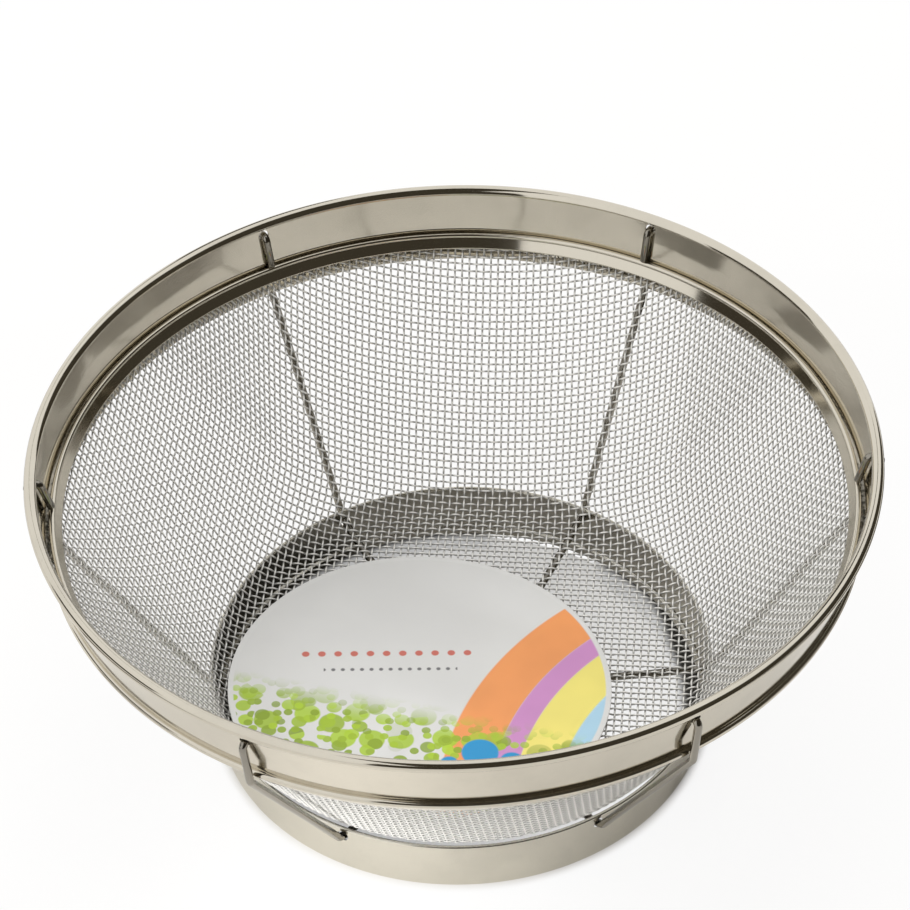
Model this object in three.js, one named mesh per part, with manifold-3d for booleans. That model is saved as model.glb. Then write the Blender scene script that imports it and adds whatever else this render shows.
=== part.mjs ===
// Colander: a rim band, a pressed net basket in it, three guard wires, a foot ring and a loose card.
// Millimetres, +Z up. The origin is on the axis, level with the underside of the foot ring.
// Profiles are lists of [radius, height] points; a "drop" is a depth below the top of the rim.

import * as THREE from 'three';
import { mergeVertices } from 'three/addons/utils/BufferGeometryUtils.js';
import Module from 'manifold-3d';

const wasm = await Module();
wasm.setup();

// Rim band
const overallHeight = 80.3;
const rimRadius = 95.05; // outermost edge of the top bead
const bandSheet = 0.55;
const topBeadRadius = 1.25;
const topCurlEnd = THREE.MathUtils.degToRad(-40); // where the curl stops, measured from straight outward
const bandNeckDrop = 2.6; // where the tapering face starts
const bandFaceDepth = 11.3;
const bandFaceInset = 3.1; // how far the face leans in over its depth
const grooveHeight = 0.7; // plain strip between the face and the lower bead
const lowerBeadRadius = 1.15;
const lowerBeadHollow = THREE.MathUtils.degToRad(126); // where its inside meets the face

// Clamp ring and the edge of the net
const clampSheet = 0.5;
const clampHemRadius = 0.5;
const clampHemRise = 2.05; // hem centre above the foot of the band's face
const clampSlopeDepth = 2.25; // from the hem centre to the bottom of the sloping part
const clampLipDepth = 1.5; // upright lip below the slope
const netThickness = 0.8; // two crossing wires
const netEdgeRise = 1.45; // upright edge of the net, between ring and band
const netMouthDepth = 3.1; // below the foot of the face, where the net comes free of the ring

// Basket
const basketFloorRadius = 55.5; // where the floor's plane meets the wall's cone
const basketFloorHeight = 11.7;
const basketCornerRadius = 7;

// Coarse grid of openings that stands for the net's weave
const wallOpenings = 24; // round the wall
const wallOpeningRows = 3;
const floorOpenings = 10; // across the floor
const netBar = 3.6; // left between two openings, on the floor and at the middle of the wall
const netEndPoints = 3; // points of the net's profile past its openings: its mouth, turn and edge

// Foot ring
const footStandOut = 2; // its outermost edge on the table, beyond the corner where floor and wall meet
const footSheet = 0.5;
const footFlare = 0.85; // how much wider the ring is at its top
const footHemRadius = 0.5;
const footHemDepth = 2.2; // flattened hem at the table
const footHemEdge = 0.2; // rounding of that hem
const footToNet = 0.5;

// Guard wires
const wireDiameter = 1.8;
const wireHoleDiameter = 2.6;
const wireHoleDrop = 4.0;
const wireBend = 1.2; // centre-line radius of the hook's bends
const hookStandOff = 1.25; // wire centre outside the band, at the hole
const footHoleHeight = 10.8;
const footHoleSlope = THREE.MathUtils.degToRad(29.5);
const footLeadOut = 2.0; // straight wire outside the foot ring
const footLeadIn = 3.2; // straight wire inside it
const footBend = 3;
const sagPower = 2.2; // shape of the sag under the floor
const guardWires = [
  { name: 'guard_wire_1', azimuths: [-2, 181.5], middleHeight: 6.6 },
  { name: 'guard_wire_2', azimuths: [58.3, 241.5], middleHeight: 2.3 },
  { name: 'guard_wire_3', azimuths: [117.8, 300.6], middleHeight: 4.45 },
];

// Card
const cardRadius = 44.5;
const cardThickness = 0.6;
const cardOffset = 13.7; // card centre from the axis
const cardLeanAzimuth = THREE.MathUtils.degToRad(225); // the card's raised side, against the wall

// Running gap between pieces, and how finely round forms are stepped
const gap = 0.3;
const roundSteps = 60;
const beadStep = Math.PI / 4;
const wireSides = 8;
const wireBendStep = Math.PI / 7;
const sagSteps = 16;
const holeSides = 16;
const cardSteps = 60;

// Sizes that follow
const beadCentre = [rimRadius - topBeadRadius, overallHeight - topBeadRadius];
const beadBore = topBeadRadius - bandSheet;
const coreWireRadius = beadBore - gap;
const bandNeckRadius = beadCentre[0] + bandSheet / 2; // outer face under the bead
const faceFoot = [bandNeckRadius - bandFaceInset, overallHeight - bandNeckDrop - bandFaceDepth];
const faceTilt = Math.atan2(bandFaceInset, bandFaceDepth);
const lowerBeadCentre = [faceFoot[0], faceFoot[1] - grooveHeight - lowerBeadRadius];
const netEdgeRadius = faceFoot[0] - bandSheet - gap - netThickness / 2; // middle of the net's edge
const clampOuterRadius = netEdgeRadius - netThickness / 2 - gap;
const clampInnerRadius = clampOuterRadius - clampSheet;
const clampHemHeight = faceFoot[1] + clampHemRise;
const clampLipTop = clampHemHeight - clampSlopeDepth;
const clampBottom = clampLipTop - clampLipDepth;
const netTurnHeight = clampBottom - gap;
const netMouth = [clampInnerRadius, faceFoot[1] - netMouthDepth];
const wallSlope = Math.atan2(netMouth[1] - basketFloorHeight, netMouth[0] - basketFloorRadius);
const cornerCentre = [
  basketFloorRadius - basketCornerRadius * Math.tan(wallSlope / 2),
  basketFloorHeight + basketCornerRadius,
];
const footRadius = basketFloorRadius + footStandOut;
const footWallRadius = footRadius + footFlare; // outer face at the top
const footHemCentreRadius = footWallRadius - footSheet + footHemRadius;
const footHemHeight = netHeight(footHemCentreRadius, -(netThickness / 2 + footToNet + footHemRadius));
const wireRadius = wireDiameter / 2;
const wireHoleHeight = overallHeight - wireHoleDrop;

// Outer radius of the band's face at a height between its neck and its foot
function bandFaceRadius(height) {
  return faceFoot[0] + (height - faceFoot[1]) * Math.tan(faceTilt);
}

// Height, at a radius, of the surface that lies a distance above (or, if negative, below) the net's middle
function netHeight(radius, offset) {
  const arcRadius = basketCornerRadius - offset;
  const reach = radius - cornerCentre[0];
  if (reach <= 0) {
    return basketFloorHeight + offset;
  }
  if (reach < arcRadius * Math.sin(wallSlope)) {
    return cornerCentre[1] - Math.sqrt(arcRadius ** 2 - reach ** 2);
  }
  const rise = (radius - basketFloorRadius) * Math.tan(wallSlope);
  return basketFloorHeight + rise + offset / Math.cos(wallSlope);
}

// Points of an arc in a profile, at its two ends and at each whole multiple of the step between them
function arcPoints([centreRadius, centreHeight], radius, from, to, step) {
  const nearest = step / 5; // least distance of such a point from the ends
  const turn = Math.sign(to - from);
  const angles = [from];
  for (let k = Math.ceil((turn * from + nearest) / step); k * step < turn * to - nearest; k += 1) {
    angles.push(turn * k * step);
  }
  angles.push(to);
  return angles.map((angle) => [
    centreRadius + radius * Math.cos(angle),
    centreHeight + radius * Math.sin(angle),
  ]);
}

// Solid of revolution about Z from a profile that runs round its section
function revolve(profile) {
  const points = profile.map(([radius, height]) => new THREE.Vector2(radius, height));
  if (THREE.ShapeUtils.area(points) < 0) points.reverse();
  points.push(points[0].clone());
  return new THREE.LatheGeometry(points, roundSteps).rotateX(Math.PI / 2);
}

function toManifold(geometry) {
  const bare = geometry.clone();
  for (const name of Object.keys(bare.attributes)) {
    if (name !== 'position') bare.deleteAttribute(name);
  }
  const merged = mergeVertices(bare, 1e-5);
  return new wasm.Manifold(new wasm.Mesh({
    numProp: 3,
    vertProperties: new Float32Array(merged.attributes.position.array),
    triVerts: new Uint32Array(merged.index.array),
  }));
}

function fromManifold(solid) {
  const mesh = solid.getMesh();
  const geometry = new THREE.BufferGeometry();
  geometry.setAttribute('position', new THREE.BufferAttribute(mesh.vertProperties, 3));
  geometry.setIndex(new THREE.BufferAttribute(mesh.triVerts, 1));
  geometry.computeVertexNormals();
  return geometry;
}

// Geometry with a list of cutters taken out of it
function cut(geometry, cutters) {
  const solids = cutters.map(toManifold);
  return fromManifold(solids.reduce((solid, cutter) => solid.subtract(cutter), toManifold(geometry)));
}

// Round cutter that crosses a sheet wall at [radius, height] and azimuth, tilted up outward by a slope
function wallHole([radius, height], azimuth, slope) {
  const length = wireHoleDiameter * 2;
  return new THREE.CylinderGeometry(wireHoleDiameter / 2, wireHoleDiameter / 2, length, holeSides)
    .rotateZ(-Math.PI / 2 + slope)
    .translate(radius, 0, 0)
    .rotateX(Math.PI / 2)
    .translate(0, 0, height)
    .rotateZ(azimuth);
}

function wireAzimuths() {
  return guardWires.flatMap((wire) => wire.azimuths.map((azimuth) => THREE.MathUtils.degToRad(azimuth)));
}

function rimBand() {
  const stem = bandSheet / 2;
  const curlStart = -Math.PI / 2 - Math.asin(stem / topBeadRadius);
  const curlEnd = topCurlEnd - 2 * Math.PI;
  const boreEnd = -Math.PI / 2 + Math.asin(stem / beadBore);
  const neckHeight = overallHeight - bandNeckDrop;
  const lowerInner = lowerBeadRadius - bandSheet;
  const profile = [
    ...arcPoints(beadCentre, topBeadRadius, curlStart, curlEnd, beadStep),
    ...arcPoints(beadCentre, beadBore, curlEnd, boreEnd, beadStep),
    [bandNeckRadius, neckHeight],
    faceFoot,
    ...arcPoints(lowerBeadCentre, lowerBeadRadius, Math.PI / 2, -Math.PI / 2, beadStep),
    ...arcPoints(lowerBeadCentre, lowerInner, -Math.PI / 2, lowerBeadHollow, beadStep),
    [faceFoot[0] - bandSheet, faceFoot[1]],
    [bandNeckRadius - bandSheet, neckHeight],
  ];
  const holeAt = [bandFaceRadius(wireHoleHeight), wireHoleHeight];
  return cut(revolve(profile), wireAzimuths().map((azimuth) => wallHole(holeAt, azimuth, 0)));
}

function rimCoreWire() {
  return revolve(arcPoints(beadCentre, coreWireRadius, 0, 2 * Math.PI - beadStep, beadStep));
}

function clampRing() {
  const hemReach = (clampHemRadius + gap) / Math.cos(faceTilt);
  const hemCentre = [bandFaceRadius(clampHemHeight) - bandSheet - hemReach, clampHemHeight];
  return revolve([
    ...arcPoints(hemCentre, clampHemRadius, -Math.PI / 3, Math.PI, beadStep),
    [clampInnerRadius, clampLipTop],
    [clampInnerRadius, clampBottom],
    [clampOuterRadius, clampBottom],
    [clampOuterRadius, clampLipTop],
  ]);
}

// One face of the net, from the edge of its flat floor to its upright edge
function netFace(offset) {
  const arcRadius = basketCornerRadius - offset;
  const arcStart = -Math.PI / 2;
  const mouth = [
    netMouth[0] - offset * Math.sin(wallSlope),
    netMouth[1] + offset * Math.cos(wallSlope),
  ];
  const edgeRadius = netEdgeRadius - offset;
  const edgeTurn = Math.PI / 2 - Math.atan2(netTurnHeight - netMouth[1], netEdgeRadius - netMouth[0]);
  const corner = arcPoints(cornerCentre, arcRadius, arcStart, arcStart + wallSlope, wallSlope / 4);
  const [cornerEnd] = corner.slice(-1);
  const wall = openingShares().map((share) => [
    THREE.MathUtils.lerp(cornerEnd[0], mouth[0], share),
    THREE.MathUtils.lerp(cornerEnd[1], mouth[1], share),
  ]);
  return [
    ...corner,
    ...wall,
    mouth,
    [edgeRadius, netTurnHeight + offset * Math.tan(edgeTurn / 2)],
    [edgeRadius, netTurnHeight + netEdgeRise],
  ];
}

// Where the wall's openings start and end in turn, as shares of its straight length
function openingShares() {
  const bendEnd = [
    cornerCentre[0] + basketCornerRadius * Math.sin(wallSlope),
    cornerCentre[1] - basketCornerRadius * Math.cos(wallSlope),
  ];
  const wallLength = Math.hypot(netMouth[0] - bendEnd[0], netMouth[1] - bendEnd[1]);
  const rowPitch = (wallLength - netBar) / wallOpeningRows;
  const shares = [];
  for (let row = 0; row < wallOpeningRows; row += 1) {
    shares.push((netBar + row * rowPitch) / wallLength, (row + 1) * rowPitch / wallLength);
  }
  return shares;
}

// Azimuths of the net's columns: each opening has two and each bar between openings one
function netAzimuths() {
  const step = 2 * Math.PI / wallOpenings;
  const opening = step - netBar / ((basketFloorRadius + netMouth[0]) / 2);
  const azimuths = [];
  for (let k = 0; k < wallOpenings; k += 1) {
    azimuths.push(k * step, k * step + opening / 2, k * step + opening);
  }
  return azimuths;
}

// Square cutters for the openings that lie whole on the flat floor
function floorCutters() {
  const pitch = 2 * cornerCentre[0] / floorOpenings;
  const side = pitch - netBar;
  const cutters = [];
  for (let column = 0; column < floorOpenings; column += 1) {
    for (let row = 0; row < floorOpenings; row += 1) {
      const [x, y] = [column, row].map((place) => (place - (floorOpenings - 1) / 2) * pitch);
      if (Math.hypot(Math.abs(x) + side / 2, Math.abs(y) + side / 2) > cornerCentre[0]) continue;
      cutters.push(new THREE.BoxGeometry(side, side, netThickness * 2).translate(x, y, basketFloorHeight));
    }
  }
  return cutters;
}

// The net's upper and lower face as rings of quads, with rows of openings left out of the wall and
// a strip of quads along every open edge that joins the two faces
function meshBasket() {
  const azimuths = netAzimuths();
  const profiles = [netFace(netThickness / 2), netFace(-netThickness / 2)];
  const [columns, rows] = [azimuths.length, profiles[0].length];
  const firstOpenRow = rows - netEndPoints - 2 * wallOpeningRows;
  const positions = profiles.flat().flatMap(([radius, height]) => azimuths.flatMap((azimuth) => [
    radius * Math.cos(azimuth), radius * Math.sin(azimuth), height,
  ]));
  const index = [];
  const at = (face, row, column) => (face * rows + row) * columns + (column + columns) % columns;
  const addQuad = (a, b, c, d) => index.push(a, b, c, a, c, d);
  const isOpen = (row, column) => {
    const place = row - firstOpenRow;
    const inOpenRow = place >= 0 && place < 2 * wallOpeningRows && place % 2 === 0;
    return row === rows - 1 || (inOpenRow && (column + columns) % 3 < 2);
  };

  for (let row = 0; row < rows - 1; row += 1) {
    for (let column = 0; column < columns; column += 1) {
      if (isOpen(row, column)) continue;
      const corners = [[row, column], [row + 1, column], [row + 1, column + 1], [row, column + 1]];
      const neighbours = [[row, column - 1], [row + 1, column], [row, column + 1], [row - 1, column]];
      addQuad(...corners.map((corner) => at(0, ...corner)));
      addQuad(...corners.map((corner) => at(1, ...corner)).reverse());
      neighbours.forEach((neighbour, side) => {
        const [from, to] = [corners[side], corners[(side + 1) % 4]];
        if (isOpen(...neighbour)) addQuad(at(0, ...to), at(0, ...from), at(1, ...from), at(1, ...to));
      });
    }
  }
  for (let column = 1; column < columns - 1; column += 1) {
    index.push(at(0, 0, 0), at(0, 0, column), at(0, 0, column + 1));
    index.push(at(1, 0, 0), at(1, 0, column + 1), at(1, 0, column));
  }

  const geometry = new THREE.BufferGeometry();
  geometry.setAttribute('position', new THREE.Float32BufferAttribute(positions, 3));
  geometry.setIndex(index);
  return cut(geometry, floorCutters());
}

function footRing() {
  const hemCentre = [footHemCentreRadius, footHemHeight];
  const innerFoot = footRadius - 2 * footSheet;
  const hemFoot = footHemHeight - footHemRadius;
  const profile = [
    ...arcPoints(hemCentre, footHemRadius, -Math.PI / 3, Math.PI, beadStep),
    [footRadius - footSheet, footHemDepth + footHemEdge],
    [innerFoot, footHemDepth],
    [innerFoot, footHemEdge],
    [innerFoot + footHemEdge, 0],
    [footRadius - footHemEdge, 0],
    [footRadius, footHemEdge],
    [footWallRadius, hemFoot],
  ];
  return cut(revolve(profile), wireAzimuths().map((azimuth) => wallHole(footHole(), azimuth, footHoleSlope)));
}

// Middle of the foot ring's wall where a guard wire crosses it
function footHole() {
  const flare = footFlare * footHoleHeight / footHemHeight;
  return [footRadius - footSheet / 2 + flare, footHoleHeight];
}

// Unit normal, at its touching point, of the line from a point to a circle that passes on the given side
function tangentNormal([x, y], [centreX, centreY], radius, side) {
  const toPoint = Math.atan2(y - centreY, x - centreX);
  const spread = Math.acos(radius / Math.hypot(x - centreX, y - centreY));
  return [Math.cos(toPoint + side * spread), Math.sin(toPoint + side * spread)];
}

// Corners of one wire end in its own upright plane, from its stub inside the band to inside the foot ring
function wireEndCorners() {
  const stubFoot = clampHemHeight + clampHemRadius + gap;
  const innerReach = (wireRadius + gap) / Math.cos(faceTilt);
  const innerRadius = (height) => bandFaceRadius(height) - bandSheet - innerReach;
  const hookTop = [bandFaceRadius(wireHoleHeight) + hookStandOff, wireHoleHeight];
  const [holeRadius, holeHeight] = footHole();
  const along = (distance) => [
    holeRadius + distance * Math.cos(footHoleSlope),
    holeHeight + distance * Math.sin(footHoleSlope),
  ];
  const passRadius = lowerBeadRadius + gap + wireRadius;
  const [upperX, upperY] = tangentNormal(hookTop, lowerBeadCentre, passRadius, -1);
  const [lowerX, lowerY] = tangentNormal(along(footLeadOut), lowerBeadCentre, passRadius, 1);
  const reach = passRadius / (1 + upperX * lowerX + upperY * lowerY);
  const beadPass = [
    lowerBeadCentre[0] + reach * (upperX + lowerX),
    lowerBeadCentre[1] + reach * (upperY + lowerY),
  ];
  return [
    { at: [innerRadius(stubFoot), stubFoot], bend: 0 },
    { at: [innerRadius(wireHoleHeight), wireHoleHeight], bend: wireBend },
    { at: hookTop, bend: wireBend },
    { at: beadPass, bend: passRadius },
    { at: along(footLeadOut), bend: footBend },
    { at: along(-footLeadIn), bend: footBend },
  ];
}

// Corners of a whole guard wire in space
function wireCorners({ azimuths, middleHeight }) {
  const ends = azimuths.map((degrees) => {
    const azimuth = THREE.MathUtils.degToRad(degrees);
    return wireEndCorners().map(({ at: [radius, height], bend }) => ({
      point: new THREE.Vector3(radius * Math.cos(azimuth), radius * Math.sin(azimuth), height),
      bend,
    }));
  });
  const [start, finish] = ends.map((end) => end.at(-1).point);
  const sag = [];
  for (let k = 1; k < sagSteps; k += 1) {
    const along = k / sagSteps;
    const point = start.clone().lerp(finish, along);
    point.z = middleHeight + (start.z - middleHeight) * Math.abs(2 * along - 1) ** sagPower;
    sag.push({ point, bend: 0 });
  }
  return [...ends[0], ...sag, ...ends[1].reverse()];
}

// Points of a route with its corners rounded to their bend radii
function roundedRoute(corners) {
  const route = [];
  corners.forEach(({ point, bend }, k) => {
    if (bend === 0) {
      route.push(point);
      return;
    }
    const back = corners[k - 1].point.clone().sub(point).normalize();
    const ahead = corners[k + 1].point.clone().sub(point).normalize();
    const turn = Math.PI - back.angleTo(ahead);
    const reach = bend * Math.tan(turn / 2);
    const centre = back.clone().add(ahead).normalize().multiplyScalar(bend / Math.cos(turn / 2)).add(point);
    const first = back.clone().multiplyScalar(reach).add(point).sub(centre);
    const last = ahead.clone().multiplyScalar(reach).add(point).sub(centre);
    const steps = Math.max(1, Math.round(turn / wireBendStep));
    for (let step = 0; step <= steps; step += 1) {
      const angle = turn * step / steps;
      route.push(first.clone().multiplyScalar(Math.sin(turn - angle))
        .addScaledVector(last, Math.sin(angle))
        .divideScalar(Math.sin(turn))
        .add(centre));
    }
  });
  return route;
}

// Polyline whose parameter advances by one equal share from each point to the next
class WireRoute extends THREE.Curve {
  constructor(points) {
    super();
    this.points = points;
  }

  getUtoTmapping(u) {
    return u;
  }

  getPoint(t, target = new THREE.Vector3()) {
    const place = t * (this.points.length - 1);
    const k = Math.min(Math.floor(place), this.points.length - 2);
    return target.lerpVectors(this.points[k], this.points[k + 1], place - k);
  }

  getTangent(t, target = new THREE.Vector3()) {
    const last = this.points.length - 1;
    const k = Math.round(t * last);
    const here = this.points[k];
    target.set(0, 0, 0);
    if (k > 0) target.add(here.clone().sub(this.points[k - 1]).normalize());
    if (k < last) target.add(this.points[k + 1].clone().sub(here).normalize());
    return target.normalize();
  }
}

function guardWire(wire) {
  const section = [];
  for (let k = 0; k < wireSides; k += 1) {
    const angle = 2 * Math.PI * k / wireSides;
    section.push(new THREE.Vector2(wireRadius * Math.cos(angle), wireRadius * Math.sin(angle)));
  }
  const route = roundedRoute(wireCorners(wire));
  return new THREE.ExtrudeGeometry(new THREE.Shape(section), {
    steps: route.length - 1,
    extrudePath: new WireRoute(route),
  });
}

// The card rests on the floor with one edge and leans on the wall with the opposite one
function insertCard() {
  const restOffset = netThickness / 2 + gap;
  const lowEdge = basketFloorHeight + restOffset;
  const highEdge = netHeight(cardOffset + cardRadius, restOffset);
  const lean = Math.asin((highEdge - lowEdge) / (2 * cardRadius));
  const disc = new THREE.Shape();
  disc.absarc(0, 0, cardRadius, 0, 2 * Math.PI);
  const geometry = new THREE.ExtrudeGeometry(disc, {
    depth: cardThickness,
    bevelEnabled: false,
    curveSegments: cardSteps,
  });
  const height = lowEdge + cardRadius * Math.sin(lean);
  return { geometry, lean, height };
}

const polishedSteel = { color: 0xc9c3b6, roughness: 0.18, metalness: 1 };
const meshSteel = { color: 0xd2cfc8, roughness: 0.35, metalness: 1 };
const wireSteel = { color: 0xb8b2a4, roughness: 0.2, metalness: 1 };
const footSteel = { color: 0xcdc8bb, roughness: 0.22, metalness: 1 };
const printedCard = { color: 0xe9ebe8, roughness: 0.6, metalness: 0 };

const group = new THREE.Group();

function addPiece(name, geometry, look) {
  const mesh = new THREE.Mesh(geometry, new THREE.MeshStandardMaterial(look));
  mesh.name = name;
  group.add(mesh);
  return mesh;
}

addPiece('rim_band', rimBand(), polishedSteel);
addPiece('rim_core_wire', rimCoreWire(), wireSteel);
addPiece('clamp_ring', clampRing(), polishedSteel);
addPiece('mesh_basket', meshBasket(), meshSteel);
for (const wire of guardWires) addPiece(wire.name, guardWire(wire), wireSteel);
addPiece('foot_ring', footRing(), footSteel);

const card = insertCard();
const cardMesh = addPiece('insert_card', card.geometry, printedCard);
const leanDirection = new THREE.Vector3(Math.cos(cardLeanAzimuth), Math.sin(cardLeanAzimuth), 0);
const leanAxis = new THREE.Vector3(leanDirection.y, -leanDirection.x, 0);
cardMesh.position.copy(leanDirection).multiplyScalar(cardOffset).setZ(card.height);
cardMesh.quaternion.setFromAxisAngle(leanAxis, card.lean);

export default group;
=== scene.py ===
"""Looks of a wire mesh colander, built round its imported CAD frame.

Metres, +Z up, the photographed front at -Y. A profile is a list of (radius, height) points.
"""

import math
from types import SimpleNamespace

import bmesh
import bpy
import numpy as np
from mathutils import Matrix, Vector


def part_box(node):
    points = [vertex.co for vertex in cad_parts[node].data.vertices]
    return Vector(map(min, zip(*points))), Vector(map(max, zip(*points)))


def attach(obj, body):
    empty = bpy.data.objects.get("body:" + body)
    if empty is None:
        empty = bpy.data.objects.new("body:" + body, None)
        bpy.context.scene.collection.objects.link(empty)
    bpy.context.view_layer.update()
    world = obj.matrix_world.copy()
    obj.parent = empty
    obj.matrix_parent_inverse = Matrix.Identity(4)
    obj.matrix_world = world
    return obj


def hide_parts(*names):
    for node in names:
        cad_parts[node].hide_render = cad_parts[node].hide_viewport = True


bl_info = {
    "name": "Wire mesh colander",
    "version": (1, 0, 0),
    "blender": (4, 5, 0),
    "location": "View3D > Sidebar > Colander",
    "description": "Dresses the packed frame of a wire mesh colander",
    "category": "Object",
}

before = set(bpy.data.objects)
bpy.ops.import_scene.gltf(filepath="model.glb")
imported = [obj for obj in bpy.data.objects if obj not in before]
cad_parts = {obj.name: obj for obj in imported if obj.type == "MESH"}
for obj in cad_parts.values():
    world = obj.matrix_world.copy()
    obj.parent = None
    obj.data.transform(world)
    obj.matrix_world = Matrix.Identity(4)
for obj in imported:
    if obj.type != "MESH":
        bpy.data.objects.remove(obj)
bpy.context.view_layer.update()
MM = 0.001
WHITE = (1.0, 1.0, 1.0)
WARM_WHITE = (1.0, 0.985, 0.96)


# Sizes and colours that a user would change

def length(name, default, description):
    """A length in metres, shown in the scene's unit; the default is given in millimetres."""
    return bpy.props.FloatProperty(
        name=name, description=description, default=default * MM, min=0.0, precision=5,
        subtype="DISTANCE", unit="LENGTH")


def turn(name, default, description):
    """An angle in radians, shown in degrees; the default is given in degrees."""
    return bpy.props.FloatProperty(
        name=name, description=description, default=math.radians(default),
        subtype="ANGLE", unit="ROTATION")


def tint(name, default, description):
    """A linear colour without alpha."""
    return bpy.props.FloatVectorProperty(
        name=name, description=description, default=default, size=3, min=0.0, max=1.0,
        subtype="COLOR")


class RimSizes(bpy.types.PropertyGroup):
    """Sizes of the rim band and of the clamp ring inside it."""

    radius: length("Rim radius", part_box("rim_band")[1].x / MM, "Outermost edge of the top bead")
    height: length("Height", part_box("rim_band")[1].z / MM, "Top of the bead above the table")
    sheet: length("Band sheet", 0.55, "Thickness of the band's sheet")
    bead: length("Top bead radius", 1.25, "Outer radius of the rolled bead on top")
    neck_drop: length("Neck drop", 2.6, "From the top of the rim to the tapering face")
    face_depth: length("Face depth", 11.3, "Height of the tapering face")
    face_inset: length("Face inset", 3.1, "How far the face leans in over its depth")
    face_end: length("Face end", 1.35, "From the face's foot down to the lower bead")
    lower_bead: length("Lower bead radius", 0.95, "Outer radius of the bead under the face")
    bead_inset: length("Lower bead inset", 0.35, "From the face's foot in to the bead's middle")
    lip_depth: length("Band lip depth", 2.75, "From the bead's middle down to the band's edge")
    lip_inset: length("Band lip inset", 1.15, "How far the band's edge turns in")
    clamp_sheet: length("Clamp sheet", 0.5, "Thickness of the clamp ring")
    gap: length("Seat gap", 0.3, "Running gap that the frame keeps between its pieces")


class NetSizes(bpy.types.PropertyGroup):
    """Sizes of the woven wire cloth."""

    pitch: length("Pitch", 1.75, "From one wire of the cloth to the next")
    wire: length("Cloth wire", 0.47, "Diameter of the cloth's wire")
    wave: length("Weave rise", 0.21, "How far a wire rises and dips as it passes the others")
    floor_radius: length("Floor radius", 55.5, "Where the floor's plane meets the wall's cone")
    floor_height: length("Floor height", 11.7, "Middle of the cloth above the table")
    corner: length("Corner radius", 7.0, "Bend between floor and wall")
    grid_turn: turn("Grid turn", -6.0, "How the cloth's wires are turned from the X axis")


class GuardSizes(bpy.types.PropertyGroup):
    """Sizes of the guard wires and of the foot ring that they pass through."""

    wire: length("Guard wire", 1.8, "Diameter of a guard wire")
    hole: length("Wire hole", 2.6, "Diameter of the holes for the wires")
    hole_drop: length("Hole drop", 4.0, "From the top of the rim to the wire holes")
    hook_bend: length("Hook bend", 1.2, "Centre-line radius of the hook's bends")
    stand_off: length("Hook stand-off", 1.23, "Wire centre outside the band at its hole")
    bead_bend: length("Bead bend", 2.35, "Centre-line bend radius at the lower bead")
    foot_stand_out: length("Foot stand-out", 2.0, "Foot ring's edge beyond the floor's corner")
    foot_sheet: length("Foot sheet", 0.5, "Thickness of the foot ring's sheet")
    foot_flare: length("Foot flare", 0.85, "How much wider the foot ring is at its top")
    foot_hem: length("Foot hem radius", 0.5, "Radius of the foot ring's top hem")
    foot_hem_depth: length("Flat hem depth", 2.2, "Depth of the flattened hem on the table")
    foot_hole_height: length("Foot hole height", 10.8, "Middle of the foot ring's wire holes")
    foot_slope: turn("Foot hole slope", 29.5, "Slope of a wire where it crosses the foot ring")


class CardSizes(bpy.types.PropertyGroup):
    """Sizes and place of the loose printed card."""

    radius: length("Card radius", 44.5, "Radius of the printed disc")
    thickness: length("Card thickness", 0.6, "Thickness of the board")
    offset: length("Card offset", 13.7, "Card centre from the bowl's axis")
    lean_azimuth: turn("Lean direction", 225.0, "Side on which the card leans on the wall")


class Finishes(bpy.types.PropertyGroup):
    """Colours of the finishes."""

    band: tint("Band steel", (0.67, 0.625, 0.53), "Polished sheet of band and clamp ring")
    wire: tint("Wire steel", (0.31, 0.29, 0.25), "Bright drawn guard wire")
    # The cloth's raised parts take this colour as painted highlight; cloth_steel gives the dips a darker
    # copy as painted shade.
    net: tint("Cloth steel", (0.96, 0.95, 0.92), "Woven wire where it stands out of the cloth")
    foot: tint("Foot steel", (0.73, 0.70, 0.615), "Semi-bright sheet of the foot ring")
    board: tint("Card board", (0.76, 0.765, 0.76), "Unprinted face of the card")
    green: tint("Leaf green", (0.36, 0.52, 0.03), "Main green of the card's dots")
    orange: tint("Orange", (0.92, 0.36, 0.12), "First ribbon of the card")
    violet: tint("Violet", (0.66, 0.30, 0.62), "Second ribbon of the card")
    yellow: tint("Yellow", (0.95, 0.84, 0.22), "Third ribbon of the card")
    blue: tint("Pale blue", (0.46, 0.72, 0.90), "Fourth ribbon of the card")


# Shapes as numpy arrays

def full_turn(count):
    """Even angles once round."""
    return np.linspace(0, 2 * math.pi, count, endpoint=False)


def unit(vectors):
    """The same directions, one long."""
    return vectors / np.maximum(np.linalg.norm(vectors, axis=-1, keepdims=True), 1e-12)


def arc(centre, radius, start, end, step=12.0):
    """Points centre + radius (cos a, sin a), for even angles a from start to end, in degrees.

    Neighbouring angles are at most a step apart.
    """
    count = max(2, math.ceil(abs(end - start) / step) + 1)
    angle = np.radians(np.linspace(start, end, count))
    return np.stack([centre[0] + radius * np.cos(angle), centre[1] + radius * np.sin(angle)], -1)


def rounded(corners, bends, step=12.0):
    """Path through corners, in the plane or in space, each replaced by an arc that touches both sides.

    With b and a the unit vectors back and ahead and t the turn, the arc of radius r starts r tan(t/2)
    back, and a point a share u along it is centre + (first sin((1-u)t) + last sin(ut)) / sin t.
    """
    corners = np.asarray(corners, float)
    parts = []
    for k, bend in enumerate(bends):
        here = corners[k]
        if bend == 0:
            parts.append(here[None])
            continue
        back = unit(corners[k - 1] - here)
        ahead = unit(corners[(k + 1) % len(corners)] - here)
        angle = math.pi - math.acos(np.clip(back @ ahead, -1, 1))
        reach = bend * math.tan(angle / 2)
        centre = here + unit(back + ahead) * bend / math.cos(angle / 2)
        first = here + back * reach - centre
        last = here + ahead * reach - centre
        count = max(2, math.ceil(math.degrees(angle) / step) + 1)
        share = np.linspace(0, angle, count)[:, None]
        curve = (np.sin(angle - share) * first + np.sin(share) * last) / math.sin(angle)
        parts.append(centre + curve)
    return np.concatenate(parts)


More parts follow.
